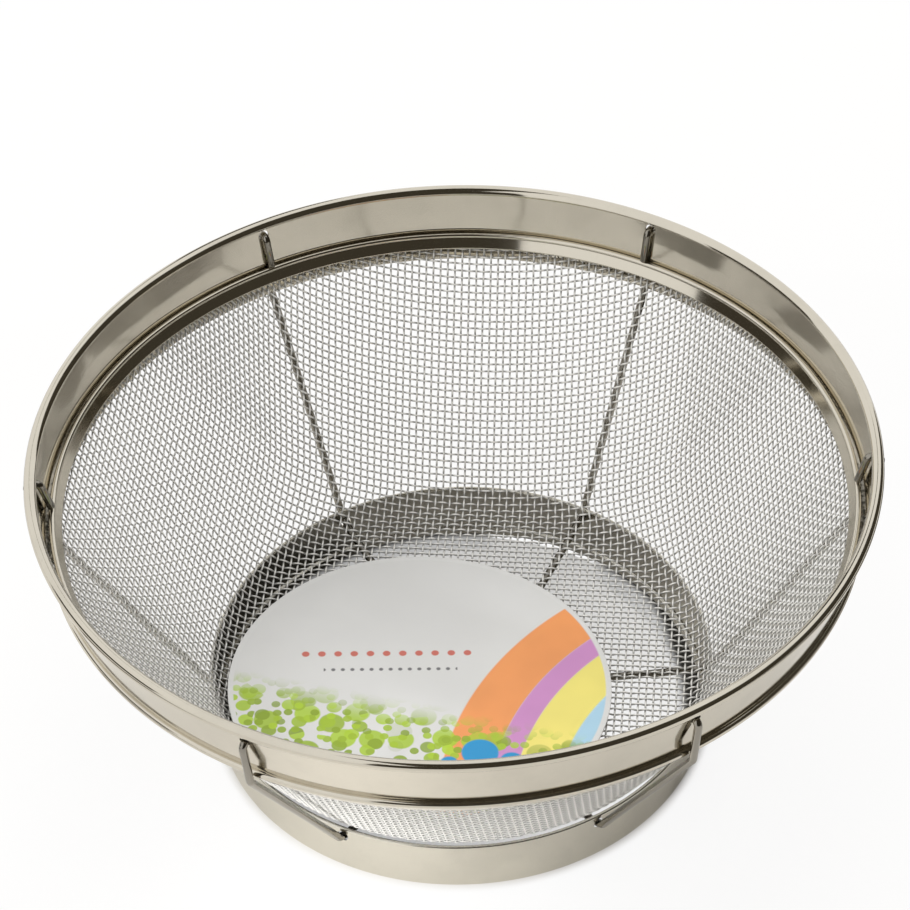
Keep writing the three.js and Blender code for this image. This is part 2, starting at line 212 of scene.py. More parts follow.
def guarded(profile, guard):
    """A closed profile with a point near each end of its long sides, which keeps their shading even."""
    ahead = np.roll(profile, -1, axis=0)
    side = ahead - profile
    reach = unit(side) * guard
    points = np.stack([profile, profile + reach, ahead - reach], 1)
    long = np.linalg.norm(side, axis=1) > 4 * guard
    return points[np.stack([np.ones_like(long), long, long], 1)]


def ring_quads(rings, columns, closed=False):
    """Corners of the quads between rings of points; closed joins the last ring to the first."""
    ring, column = np.meshgrid(np.arange(rings - (not closed)), np.arange(columns), indexing="ij")
    here, there = ring * columns, (ring + 1) % rings * columns
    column_on = (column + 1) % columns
    return np.stack([here + column, here + column_on, there + column_on, there + column], -1)


def turned(radius, height, azimuth):
    """A profile point (r, z) turned to azimuth a stands at (r cos a, r sin a, z)."""
    radius, height, azimuth = np.broadcast_arrays(radius, height, azimuth)
    return np.stack([radius * np.cos(azimuth), radius * np.sin(azimuth), height], -1)


def lathe(profile, steps=360, closed=True):
    """A profile turned once round Z: points and quads."""
    points = turned(profile[:, :1], profile[:, 1:], full_turn(steps)[None])
    return points.reshape(-1, 3), [ring_quads(len(profile), steps, closed).reshape(-1, 4)]


def pierced_lathe(parts, walls, half_height, hole_radius, radius):
    """A closed profile turned round Z, with a round hole through its wall at each wire's azimuth.

    parts are the profile's stretches. walls holds (a stretch's number, height of its hole's middle) for
    the outer wall, whose stretch runs down, then for the inner one, whose stretch runs up. The cells
    round a hole give way to rings of points on the same wall, one for each point of the opening's edge.
    On the line from the hole's middle to that point, a ring's point lies a share of the way from the
    hole's edge to it. Last the edges of the two holes are joined.
    """
    profile = np.concatenate(parts)
    half_width = 1.7 * hole_radius / radius
    cells, step = 8, math.radians(1.0)
    middles = np.radians(np.concatenate([ends for ends, _ in GUARD_WIRES.values()]))
    middles = np.sort(middles % (2 * math.pi))
    starts, columns = [], []
    for middle, following in zip(middles, [*middles[1:], middles[0] + 2 * math.pi]):
        starts.append(sum(map(len, columns)))
        columns.append(np.linspace(middle - half_width, middle + half_width, cells + 1))
        count = max(2, round((following - middle - 2 * half_width) / step))
        columns.append(np.linspace(middle + half_width, following - half_width, count + 1)[1:-1])
    azimuth = np.concatenate(columns)
    width = len(azimuth)
    grid = turned(profile[:, :1], profile[:, 1:], azimuth[None]).reshape(-1, 3)
    quads = ring_quads(len(profile), width, closed=True)
    keep = np.ones(quads.shape[:2], bool)
    points, polygons = [grid], []
    total = len(grid)

    def skin(numbers):
        polygons.append(numbers.ravel()[ring_quads(*numbers.shape).reshape(-1, 4)])

    for start, middle in zip(starts, middles):
        edges = []
        for (number, hole_height), downward in zip(walls, (True, False)):
            wall = parts[number]
            rows = len(wall) - 1
            first = sum(map(len, parts[:number]))
            keep[first:first + rows, start:start + cells] = False
            down = np.arange(rows + 1) if downward else np.arange(rows, -1, -1)
            row = down[np.r_[[0] * cells, 0:rows, [rows] * cells, rows:0:-1]]
            column = np.r_[0:cells, [cells] * rows, cells:0:-1, [0] * rows]
            rim_azimuth = azimuth[start + column] - middle
            rim_height = wall[row, 1] - hole_height
            across = rim_azimuth * wall[:, 0].mean() / hole_radius
            share = np.array([0.0, 0.06, 0.4])[:, None]
            share = (1 - share) / np.hypot(across, rim_height / half_height) + share
            ring_height = hole_height + rim_height * share
            order = np.argsort(wall[:, 1])
            ring_radius = np.interp(ring_height, wall[order, 1], wall[order, 0])
            rings = turned(ring_radius, ring_height, middle + rim_azimuth * share).reshape(-1, 3)
            numbers = total + np.arange(len(rings)).reshape(len(share), -1)
            skin(np.concatenate([numbers, [(first + row) * width + start + column]]))
            points.append(rings)
            total += len(rings)
            edges.append(numbers[0])
        skin(np.stack(edges))
    return np.concatenate(points), [quads[keep].reshape(-1, 4), *polygons]


def tube(path, radius, sides=16):
    """A round section carried along a path in space, with a shallow dome on each end.

    At each point the tangent is the mean of its two sides' directions. The section's first axis is the
    horizontal normal of the path's upright plane, made square to the tangent, and its second is square
    to both. The section's points are centre + radius (cos a first + sin a second).
    """
    along = unit(np.diff(path, axis=0))
    tangent = unit(np.concatenate([along[:1], along[:-1] + along[1:], along[-1:]]))
    side = unit(np.cross(path[-1] - path[0], [0.0, 0.0, 1.0]))
    first = unit(side - tangent * (tangent @ side)[:, None])
    second = np.cross(tangent, first)
    angle = full_turn(sides)[None, :, None]
    reach = radius * (np.cos(angle) * first[:, None] + np.sin(angle) * second[:, None])
    share = np.array([0.0, 0.55, 0.87])[:, None, None]
    push = np.array([0.42, 0.30, 0.12])[:, None, None] * radius
    head = path[0] + reach[0] * share - tangent[0] * push
    tail = path[-1] + reach[-1] * share[::-1] + tangent[-1] * push[::-1]
    points = np.concatenate([head, path[:, None] + reach, tail])
    return points.reshape(-1, 3), [ring_quads(len(points), sides).reshape(-1, 4)]


# Making pieces

def new_object(name, points, polygons):
    """An object at the origin from points and lists of equal-sided polygons."""
    mesh = bpy.data.meshes.new(name)
    corners = np.concatenate([p.ravel() for p in polygons]).astype(np.int32)
    sides = np.concatenate([np.full(len(p), p.shape[1], np.int32) for p in polygons])
    starts = np.concatenate([[0], np.cumsum(sides)[:-1]]).astype(np.int32)
    mesh.vertices.add(len(points))
    mesh.vertices.foreach_set("co", np.asarray(points, np.float32).ravel())
    mesh.loops.add(len(corners))
    mesh.loops.foreach_set("vertex_index", corners)
    mesh.polygons.add(len(sides))
    mesh.polygons.foreach_set("loop_start", starts)
    mesh.update(calc_edges=True)
    return link(name, mesh)


def link(name, data):
    """An object in the scene that shows a mesh, a lamp or a camera."""
    item = bpy.data.objects.new(name, data)
    bpy.context.scene.collection.objects.link(item)
    return item


def smooth(mesh):
    """Smooth shading on every face."""
    mesh.polygons.foreach_set("use_smooth", np.ones(len(mesh.polygons), bool))


def dress(piece, material, body, replaced):
    """Gives a piece its material, its body and the frame's nodes that it stands for."""
    piece.data.materials.append(material)
    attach(piece, body)
    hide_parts(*replaced)


def add_shell(name, shape, material, body, replaced, sharp=40.0):
    """A closed shell with doubles merged and faces outward, smooth but for edges over an angle."""
    piece = new_object(name, *shape)
    shell = bmesh.new()
    shell.from_mesh(piece.data)
    bmesh.ops.remove_doubles(shell, verts=shell.verts, dist=1e-7)
    bmesh.ops.recalc_face_normals(shell, faces=shell.faces)
    shell.to_mesh(piece.data)
    shell.free()
    smooth(piece.data)
    piece.data.set_sharp_from_angle(angle=math.radians(sharp))
    dress(piece, material, body, replaced)


# Places that follow from the sizes, as they do in the CAD

def plan():
    """Points and radii of the rim, the net, the wires and the foot ring."""
    scene = bpy.context.scene
    rim, net, guard = scene.colander_rim, scene.colander_net, scene.colander_guard
    p = SimpleNamespace(
        rim=rim, net=net, guard=guard, card=scene.colander_card, tints=scene.colander_finishes,
        gap=rim.gap)
    wire_drop, hem_rise, lip_drop, lip_slope, mouth_drop, foot_clear = np.multiply(
        (1.85, 2.05, 2.25, 1.5, 3.1, 0.5), MM).tolist()
    p.net_half = 0.4 * MM
    p.bead = (rim.radius - rim.bead, rim.height - rim.bead)
    p.neck = (p.bead[0] + rim.sheet / 2, rim.height - rim.neck_drop)
    p.face_foot = (p.neck[0] - rim.face_inset, p.neck[1] - rim.face_depth)
    radius, height = p.face_foot
    p.tilt = math.atan2(rim.face_inset, rim.face_depth)
    p.lower_bead = (radius - rim.bead_inset, height - rim.face_end - rim.lower_bead)
    p.wire_bend = (radius, height - wire_drop)
    p.net_edge = radius - rim.sheet - p.gap - p.net_half
    p.clamp_outer = p.net_edge - p.net_half - p.gap
    p.clamp_inner = p.clamp_outer - rim.clamp_sheet
    p.hem_height = height + hem_rise
    p.lip_top = p.hem_height - lip_drop
    p.mouth = (p.clamp_inner, height - mouth_drop)
    p.net_turn = p.lip_top - lip_slope - p.gap
    p.slope = math.atan2(p.mouth[1] - net.floor_height, p.mouth[0] - net.floor_radius)
    corner_reach = net.corner * math.tan(p.slope / 2)
    p.corner = (net.floor_radius - corner_reach, net.floor_height + net.corner)
    p.foot = net.floor_radius + guard.foot_stand_out
    p.foot_wall = p.foot + guard.foot_flare
    p.foot_hem = p.foot_wall - guard.foot_sheet + guard.foot_hem
    p.foot_top = net_height(p, p.foot_hem, -(p.net_half + foot_clear + guard.foot_hem))
    p.hole_height = rim.height - guard.hole_drop
    return p


def face_radius(p, height):
    """Outer radius of the tapering face: its foot's radius plus the height above it times tan(tilt)."""
    return p.face_foot[0] + (height - p.face_foot[1]) * math.tan(p.tilt)


def net_height(p, radius, offset):
    """Height, at a radius, of the surface that lies an offset above the net's middle.

    The floor is flat, the corner is an arc of the corner's radius less the offset, and the wall rises by
    tan(slope) times the radius beyond the floor, plus offset / cos(slope).
    """
    arc_radius = p.net.corner - offset
    reach = radius - p.corner[0]
    if reach <= 0:
        return p.net.floor_height + offset
    if reach < arc_radius * math.sin(p.slope):
        return p.corner[1] - math.sqrt(arc_radius ** 2 - reach ** 2)
    rise = (radius - p.net.floor_radius) * math.tan(p.slope)
    return p.net.floor_height + rise + offset / math.cos(p.slope)


# Azimuths of each wire's two ends, in degrees, and the height of its middle under the floor
GUARD_WIRES = {
    "guard_wire_1": ((-2.0, 181.5), 6.6 * MM),
    "guard_wire_2": ((58.3, 241.5), 2.3 * MM),
    "guard_wire_3": ((117.8, 300.6), 4.45 * MM),
}


# Rim band and clamp ring

def band_shell(p):
    """The band: rolled bead, neck, tapering face, lower bead and turned-in lip, then back up inside.

    The top bead is round outside and flatter on its upper inner side. The wire holes go through the
    face's rows, which run from just under the neck to below the holes.
    """
    rim = p.rim
    stem = rim.sheet / 2
    bore = rim.bead - rim.sheet
    curl_start = -90 - math.degrees(math.asin(stem / rim.bead))
    bore_end = -90 + math.degrees(math.asin(stem / bore))
    flat, tight, lip_bend = 1.85 * MM, 0.3 * MM, 0.1 * MM
    flat_middle = arc(p.bead, rim.bead - flat, 112, 112)[0]
    tight_middle = arc(flat_middle, flat - tight, 160, 160)[0]
    rows = 6
    heights = np.linspace(p.neck[1] - 0.04 * MM, p.hole_height - p.guard.hole, rows + 1)
    face = np.stack([face_radius(p, heights), heights], -1)
    foot = np.array(p.face_foot)
    face_end = foot[1] - rim.face_end
    below = arc(p.lower_bead, rim.lower_bead, 90, -86, 10)
    hollow = arc(p.lower_bead, rim.lower_bead - rim.sheet, -100, 126, 15)
    edge = np.array(p.lower_bead) - [rim.lip_inset, rim.lip_depth]
    lip = [below[-1], edge + [0.25 * MM, -0.14 * MM], edge, hollow[0]]
    parts = [
        arc(p.bead, rim.bead, curl_start, -140, 10), arc(tight_middle, tight, -139, -199, 15),
        arc(flat_middle, flat, -200, -247, 6), arc(p.bead, rim.bead, -248, -400, 10),
        arc(p.bead, bore, -400, bore_end, 18), [p.neck], face,
        [(face_radius(p, face_end), face_end)], below,
        rounded(lip, [0, lip_bend, lip_bend, 0], 30)[1:-1], hollow,
        [foot - [rim.sheet, 0]], face[::-1] - [rim.sheet, 0], [(p.neck[0] - rim.sheet, p.neck[1])]]
    outer, inner, half = 6, 12, p.guard.hole / 2
    walls = [(outer, p.hole_height), (inner, p.hole_height)]
    return pierced_lathe(parts, walls, half, half, p.neck[0])


def clamp_shell(p):
    """The clamp ring: a hem bead at the top, then a slope that ends in a smaller bead."""
    bead, edge = 0.7 * MM, 0.3 * MM
    height = p.hem_height + 0.5 * MM - bead
    reach = (bead + p.gap) / math.cos(p.tilt)
    hem = (face_radius(p, height) - p.rim.sheet - reach, height)
    end = (p.clamp_inner - 0.32 * MM, p.lip_top - 0.42 * MM)
    back = rounded(
        [(p.clamp_outer, end[1]), (p.clamp_outer, p.lip_top), hem], [0, 0.5 * MM, 0], 15)[:-1]
    profile = np.concatenate([arc(hem, bead, -60, 200, 15), arc(end, edge, 147, 320, 20), back])
    return lathe(guarded(profile, 0.1 * MM))


# Woven wire cloth

def net_profile(p):
    """Arc length, radius and height along the net's middle, from the axis to the edge."""
    corners = [
        (0.0, p.net.floor_height), (p.net.floor_radius, p.net.floor_height), p.mouth,
        (p.net_edge, p.net_turn), (p.net_edge, p.net_turn + 1.35 * MM)]
    path = rounded(corners, [0, p.net.corner, 1.2 * MM, 0.6 * MM, 0], 3)
    along = np.concatenate([[0], np.cumsum(np.linalg.norm(np.diff(path, axis=0), axis=1))])
    return along, path[:, 0], path[:, 1]


def net_point(profile, a, b):
    """Point and inward normal of the net for flat coordinates (a, b).

    Their length is the arc length from the axis and their angle is the azimuth.
    """
    along, radius, height = profile
    s = np.hypot(a, b)
    beyond = np.maximum(s - along[-1], 0)
    r = np.interp(s, along, radius)
    z = np.interp(s, along, height) + beyond
    step = 0.1 * MM
    r_on, z_on = [np.interp(s + step, along, c) - np.interp(s - step, along, c) for c in (radius, height)]
    z_on = np.where(beyond > 0, step, z_on)
    size = np.maximum(np.hypot(r_on, z_on), 1e-12)
    safe = np.maximum(s, 1e-9)
    cosine, sine = a / safe, b / safe
    point = np.stack([r * cosine, r * sine, z], -1)
    normal = np.stack([-z_on * cosine, -z_on * sine, r_on], -1) / size[..., None]
    return point, normal


def cloth_net(profile, pitch, count):
    """Flat coordinates of the crossings of a quarter of the cloth, as it lies pressed to the bowl.

    The wires keep their length, so the net is found outward from two middle wires that run straight up
    the wall: each crossing lies one pitch from its two neighbours. Newton's method solves one diagonal
    at a time.
    """
    a, b = np.zeros((2, count + 1, count + 1))
    a[:, 0] = b[0, :] = np.arange(count + 1) * pitch
    small, most = 0.001 * MM, pitch / 3
    for total in range(2, 2 * count + 1):
        i = np.arange(max(1, total - count), min(count, total - 1) + 1)
        j = total - i
        marks = [net_point(profile, a[k], b[k])[0] for k in ((i - 1, j), (i, j - 1))]
        x, y = [c[i - 1, j] + c[i, j - 1] - c[i - 1, j - 1] for c in (a, b)]

        def miss(x, y):
            here = net_point(profile, x, y)[0]
            return np.array([np.linalg.norm(here - mark, axis=-1) - pitch for mark in marks])

        for _ in range(9):
            f, g = now = miss(x, y)
            fx, gx = (miss(x + small, y) - now) / small
            fy, gy = (miss(x, y + small) - now) / small
            det = fx * gy - fy * gx
            det = np.where(np.abs(det) < 1e-6, 1e-6, det)
            x = x - np.clip((f * gy - g * fy) / det, -most, most)
            y = y - np.clip((g * fx - f * gx) / det, -most, most)
        a[i, j], b[i, j] = x, y
    return a, b


def cloth_wires(p, profile, a, b, swap):
    """Rings of one family of wires.

    At place t along wire w the wire's middle is the net's point raised along the normal by
    wave * cos(pi t) * (-1)^w, and a ring of five points stands round it. Returns the rings, which of them
    are in use, and each point's level: 1 clear of the cloth on either side, 0 in the middle of it.
    """
    net = p.net
    count = a.shape[0] - 1
    parts, sides = 3, 5
    arc_length = np.hypot(a, b)
    edge = profile[0][-1]
    reach = (arc_length < edge).sum(axis=0)
    wires = np.arange(-count, count + 1)
    wires = wires[reach[np.abs(wires)] > 0]
    rank = np.abs(wires)
    last = reach[rank] - 1
    before, after = arc_length[last, rank], arc_length[np.minimum(last + 1, count), rank]
    limit = (last + np.clip((edge - before) / np.maximum(after - before, 1e-9), 0, 1))[:, None]
    place = np.arange(-count * parts, count * parts + 1)[None, :]
    used = (np.abs(place) - 1) / parts < limit
    parity = np.where(wires % 2, -1.0, 1.0)[:, None]
    cosine, sine = math.cos(net.grid_turn), math.sin(net.grid_turn)

    def middle(t):
        t = np.clip(t, -limit, limit)
        size = np.clip(np.abs(t), 0, count - 1e-6)
        low = size.astype(int)
        part = size - low
        row = np.broadcast_to(rank[:, None], t.shape)
        x = (a[low, row] * (1 - part) + a[low + 1, row] * part) * np.sign(t)
        y = (b[low, row] * (1 - part) + b[low + 1, row] * part) * np.sign(wires)[:, None]
        if swap:
            x, y = y, x
        point, normal = net_point(profile, x * cosine - y * sine, x * sine + y * cosine)
        lift = net.wave * np.cos(math.pi * t) * (-parity if swap else parity)
        return point + normal * lift[..., None], normal, lift

    t = np.clip(place / parts, -limit, limit)
    centre, normal, lift = middle(t)
    tangent = unit(middle(t + 0.1)[0] - middle(t - 0.1)[0])
    side = unit(np.cross(tangent, normal))
    up = np.cross(side, tangent)
    angle = full_turn(sides)[None, None, :, None] + math.pi / 2
    half = net.wire / 2
    rings = np.cos(angle) * side[:, :, None] + np.sin(angle) * up[:, :, None]
    rings = centre[:, :, None] + rings * half
    level = np.abs(lift[..., None] + np.sin(angle[..., 0]) * half) / (net.wave + half)
    return rings, used, level


def cloth_piece(name, rings, used, level, material):
    """Quads between neighbouring rings of each wire, and a five-sided cap on each of its ends."""
    number = np.cumsum(used.ravel()).reshape(used.shape) - 1
    pair = used[:, :-1] & used[:, 1:]
    here, there = number[:, :-1][pair], number[:, 1:][pair]
    sides = rings.shape[2]
    k = np.arange(sides)
    k_on = (k + 1) % sides
    here, there = here[:, None] * sides, there[:, None] * sides
    quads = np.stack([here + k, here + k_on, there + k_on, there + k], -1).reshape(-1, 4)
    wire = np.arange(len(used))
    first = number[wire, used.argmax(axis=1)]
    last = number[wire, used.shape[1] - 1 - used[:, ::-1].argmax(axis=1)]
    caps = np.concatenate([first[:, None] * sides + k[::-1], last[:, None] * sides + k])
    piece = new_object(name, rings[used].reshape(-1, 3), [quads[:, ::-1], caps[:, ::-1]])
    smooth(piece.data)
    # The level attribute sets where cloth_steel paints highlight on the crests and shade in the dips.
    piece.data.attributes.new("level", "FLOAT", "POINT").data.foreach_set(
        "value", level[used].ravel().astype(np.float32))
    dress(piece, material, "colander", ["mesh_basket"])


# Guard wires and foot ring

def touch_normal(point, centre, radius, side):
    """Unit normal of the line from a point to a circle that touches it on the given side.

    Its angle is the point's angle seen from the centre, plus or minus acos(radius / distance).
    """
    to_x, to_y = point[0] - centre[0], point[1] - centre[1]
    angle = math.atan2(to_y, to_x) + side * math.acos(radius / math.hypot(to_x, to_y))
    return np.array([math.cos(angle), math.sin(angle)])


def wire_end(p):
    """Corners (radius, height) and bends of a wire end, from inside the band to the foot ring.

    The corner at the lower bead is where the two lines that touch its bend meet, which is
    centre + bend (u + v) / (1 + u.v) for their unit normals u and v.
    """
    guard = p.guard
    stub = p.hem_height + 0.5 * MM + p.gap
    inset = p.rim.sheet + (guard.wire / 2 + p.gap) / math.cos(p.tilt)
    hook = np.array([face_radius(p, p.hole_height) + guard.stand_off, p.hole_height])
    direction = np.array([math.cos(guard.foot_slope), math.sin(guard.foot_slope)])
    height = guard.foot_hole_height
    hole = np.array([p.foot - guard.foot_sheet / 2 + guard.foot_flare * height / p.foot_top, height])
    outside, inside = hole + 2.0 * MM * direction, hole - 3.2 * MM * direction
    bend = guard.bead_bend
    upper = touch_normal(hook, p.wire_bend, bend, -1)
    lower = touch_normal(outside, p.wire_bend, bend, 1)
    bead_pass = np.array(p.wire_bend) + bend / (1 + upper @ lower) * (upper + lower)
    corners = [
        (face_radius(p, stub) - inset, stub), (face_radius(p, p.hole_height) - inset, p.hole_height),
        hook, bead_pass, outside, inside]
    return np.array(corners), [0, guard.hook_bend, guard.hook_bend, bend, 3.0 * MM, 3.0 * MM]


def wire_path(p, ends, middle_height):
    """Whole route of a guard wire: one end, the sag under the floor, and the other end.

    Between the two inner corners the route is straight from above, and its height is
    m + (e - m) |u|^2.2, where u goes from -1 to 1, e is the ends' height and m the middle's.
    """
    profile, bends = wire_end(p)
    first, last = [turned(profile[:, 0], profile[:, 1], azimuth) for azimuth in np.radians(ends)]
    share = np.linspace(0, 1, 49)[1:-1, None]
    sag = first[-1] * (1 - share) + last[-1] * share
    rise = np.abs(2 * share[:, 0] - 1) ** 2.2
    sag[:, 2] = middle_height + (profile[-1, 1] - middle_height) * rise
    corners = np.concatenate([first, sag, last[::-1]])
    return rounded(corners, bends + [0] * len(sag) + bends[::-1], 9)


def foot_shell(p):
    """The foot ring: hem bead at the top, flared wall, and a flattened hem on the table."""
    guard, sheet, foot = p.guard, p.guard.foot_sheet, p.foot
    hole, fold = guard.foot_hole_height, guard.foot_hem_depth
    rows, low, table_bend, fold_bend = 6, 0.2 * MM, 0.2 * MM, 0.15 * MM

    def wall(heights, inset=0.0):
        """Points of the wall, whose radius grows evenly with height, an inset from its outer side."""
        heights = np.asarray(heights)
        share = (heights - low) / (p.foot_top - guard.foot_hem - low)
        return np.stack([p.foot + share * (p.foot_wall - p.foot) - inset, heights], -1)

    heights = np.linspace(hole + 2.05 * MM, hole - 2.6 * MM, rows + 1)
    rise = wall([fold + 0.3 * MM, fold + 1.0 * MM], sheet)
    bottom = rounded(
        [(foot, 0.6 * MM), (foot, 0), (foot - 2 * sheet, 0), (foot - 2 * sheet, fold), rise[0]],
        [0, table_bend, table_bend, fold_bend, 0], 20)[1:-1]
    parts = [
        arc((p.foot_hem, p.foot_top), guard.foot_hem, 180, -60, 15),
        wall([p.foot_top - 0.62 * MM]), wall(heights), wall([fold + 0.5 * MM, 0.5 * MM]), bottom, rise,
        wall(heights[::-1], sheet)]
    outer, inner, half = 2, 6, guard.hole / 2
    tall = half / math.cos(guard.foot_slope + 0.06)
    shift = sheet / 2 * math.tan(guard.foot_slope)
    return pierced_lathe(parts, [(outer, hole + shift), (inner, hole - shift)], tall, half, foot)


# Finishes

class Signal:
    """A node's output socket that takes Python's operators; each one adds a Math node."""

    def __init__(self, finish, socket):
        self.finish = finish
        self.socket = socket

    def output(self, key):
        """Another output of the same node."""
        return Signal(self.finish, self.socket.node.outputs[key])

    def math(self, operation, *others):
        sockets = dict(enumerate((self, *others)))
        return self.finish.add("ShaderNodeMath", {"operation": operation}, sockets)

    def reflected(self, operation, other):
        """An operation whose first value is the other one and whose second is the signal."""
        return self.finish.add("ShaderNodeMath", {"operation": operation}, {0: other, 1: self})

    def __add__(self, other):
        return self.math("ADD", other)

    def __sub__(self, other):
        return self.math("SUBTRACT", other)

    def __rsub__(self, other):
        return self.reflected("SUBTRACT", other)

    def __mul__(self, other):
        return self.math("MULTIPLY", other)

    def __truediv__(self, other):
        return self.math("DIVIDE", other)

    def __rtruediv__(self, other):
        return self.reflected("DIVIDE", other)

    __radd__ = __add__
    __rmul__ = __mul__

    def larger(self, other):
        return self.math("MAXIMUM", other)

    def hypot(self, other):
        return (self * self + other * other).math("SQRT")

    def between(self, low, high, start=0.0, end=1.0):
        """Goes smoothly from start to end as the signal goes from low to high."""
        return self.finish.add(
            "ShaderNodeMapRange", {"interpolation_type": "SMOOTHSTEP"},
            {"Value": self, "From Min": low, "From Max": high, "To Min": start, "To Max": end})

    def choose(self, first, second):
        """The first colour where the signal is 0, the second where it is 1."""
        return self.finish.add(
            "ShaderNodeMix", {"data_type": "RGBA"}, {0: self, 6: first, 7: second}, 2)


class Finish:
    """The node tree of a material or a world in the making, and one way to add a node to it."""

    def __init__(self, owner):
        owner.use_nodes = True
        self.tree = owner.node_tree
        self.tree.nodes.clear()

    def feed(self, socket, value):
        if isinstance(value, Signal):
            self.tree.links.new(value.socket, socket)
        elif socket.type == "RGBA" and len(value) == 3:
            socket.default_value = (*value, 1.0)
        else:
            socket.default_value = value

    def add(self, kind, settings=None, sockets=None, output=0):
        """Adds a node of a kind, makes its settings, then gives its sockets values or links."""
        node = self.tree.nodes.new(kind)
        for name, value in (settings or {}).items():
            setattr(node, name, value)
        for name, value in (sockets or {}).items():
            self.feed(node.inputs[name], value)
        return Signal(self, node.outputs[output]) if node.outputs else None

    def place(self, scale=WHITE, location=(0.0, 0.0, 0.0)):
        """Object coordinates from a location, then scaled."""
        here = self.add("ShaderNodeTexCoord", output=3)
        moved = self.add(
            "ShaderNodeMapping", {"vector_type": "TEXTURE"}, {"Vector": here, "Location": location})
        return self.add("ShaderNodeVectorMath", {"operation": "MULTIPLY"}, {0: moved, 1: scale})

    def split(self, vector):
        """The three parts of a vector."""
        first = self.add("ShaderNodeSeparateXYZ", sockets={"Vector": vector})
        return [first.output(k) for k in range(3)]

    def noise(self, vector, scale, detail=2.0, rough=0.5):
        return self.add(
            "ShaderNodeTexNoise", {"noise_dimensions": "3D"},
            {"Vector": vector, "Scale": scale, "Detail": detail, "Roughness": rough})

    def clouds(self):
        """Soft patches about two centimetres across, with finer ones inside them."""
        return self.noise(self.place(), 55.0, 4.0, 0.6).between(0.42, 0.72)

    def bump(self, height, strength, distance, normal=None):
        sockets = {"Height": height, "Strength": strength, "Distance": distance}
        if normal is not None:
            sockets["Normal"] = normal
        return self.add("ShaderNodeBump", sockets=sockets)

    def principled(self, **sockets):
        """A Principled shader; a socket's words are joined by underscores."""
        sockets = {name.replace("_", " "): value for name, value in sockets.items()}
        return self.add("ShaderNodeBsdfPrincipled", sockets=sockets)

    def mix(self, share, first, second):
        return self.add("ShaderNodeMixShader", sockets={0: share, 1: first, 2: second})

    def end(self, shader, kind="Material"):
        self.add("ShaderNodeOutput" + kind, sockets={"Surface": shader})


def new_material(name):
    """An empty material and the finish that fills it."""
    material = bpy.data.materials.new(name)
    return material, Finish(material)


def times(colour, factor):
    """A colour made darker or brighter by a factor."""
    return tuple(factor * channel for channel in colour)


def steel(name, colour, rough, stain, streak, wave, grain=(30.0, 30.0, 2600.0)):
    """Bright steel: cloudy handling marks, fine lines drawn round it, and a slightly uneven sheet.

    stain is how far the clouds darken it and raise its roughness, streak the strength of the drawn
    lines, wave the depth of the sheet's unevenness in metres, and grain how fine the lines are along
    each axis.
    """
    material, finish = new_material(name)
    plain = finish.place()
    clouds = finish.clouds()
    specks = finish.noise(plain, 900.0, 2.0, 0.6).between(0.55, 0.8)
    lines = finish.noise(finish.place(grain), 1.0, 3.0, 0.7)
    shade = clouds * stain + specks * (stain * 0.4)
    roughness = (lines - 0.5) * 0.05 + clouds * (stain * 0.25) + rough
    uneven = finish.bump(finish.noise(plain, 85.0, 1.0, 0.4), 1.0, wave)
    finish.end(finish.principled(
        Base_Color=shade.choose(colour, times(colour, 0.72)), Metallic=1.0, Roughness=roughness,
        Normal=finish.bump(lines, streak, 0.004 * MM, uneven)))
    return material


def cloth_steel(colour):
    """Woven wire: bright where it stands out of the cloth as painted highlight, darker down between the
    wires as painted shade.
    """
    material, finish = new_material("mesh_steel")
    level = finish.add("ShaderNodeAttribute", {"attribute_name": "level"}, output=2)
    clouds = finish.clouds()
    # Painted light: the crests take the full colour and the dips a darker copy as painted shade; the
    # clouds add stains.
    raised = level.between(0.15, 0.8) - clouds * 0.1
    finish.end(finish.principled(
        Base_Color=raised.choose(times(colour, 0.42), colour), Metallic=0.15,
        Roughness=clouds * 0.06 + 0.3))
    return material


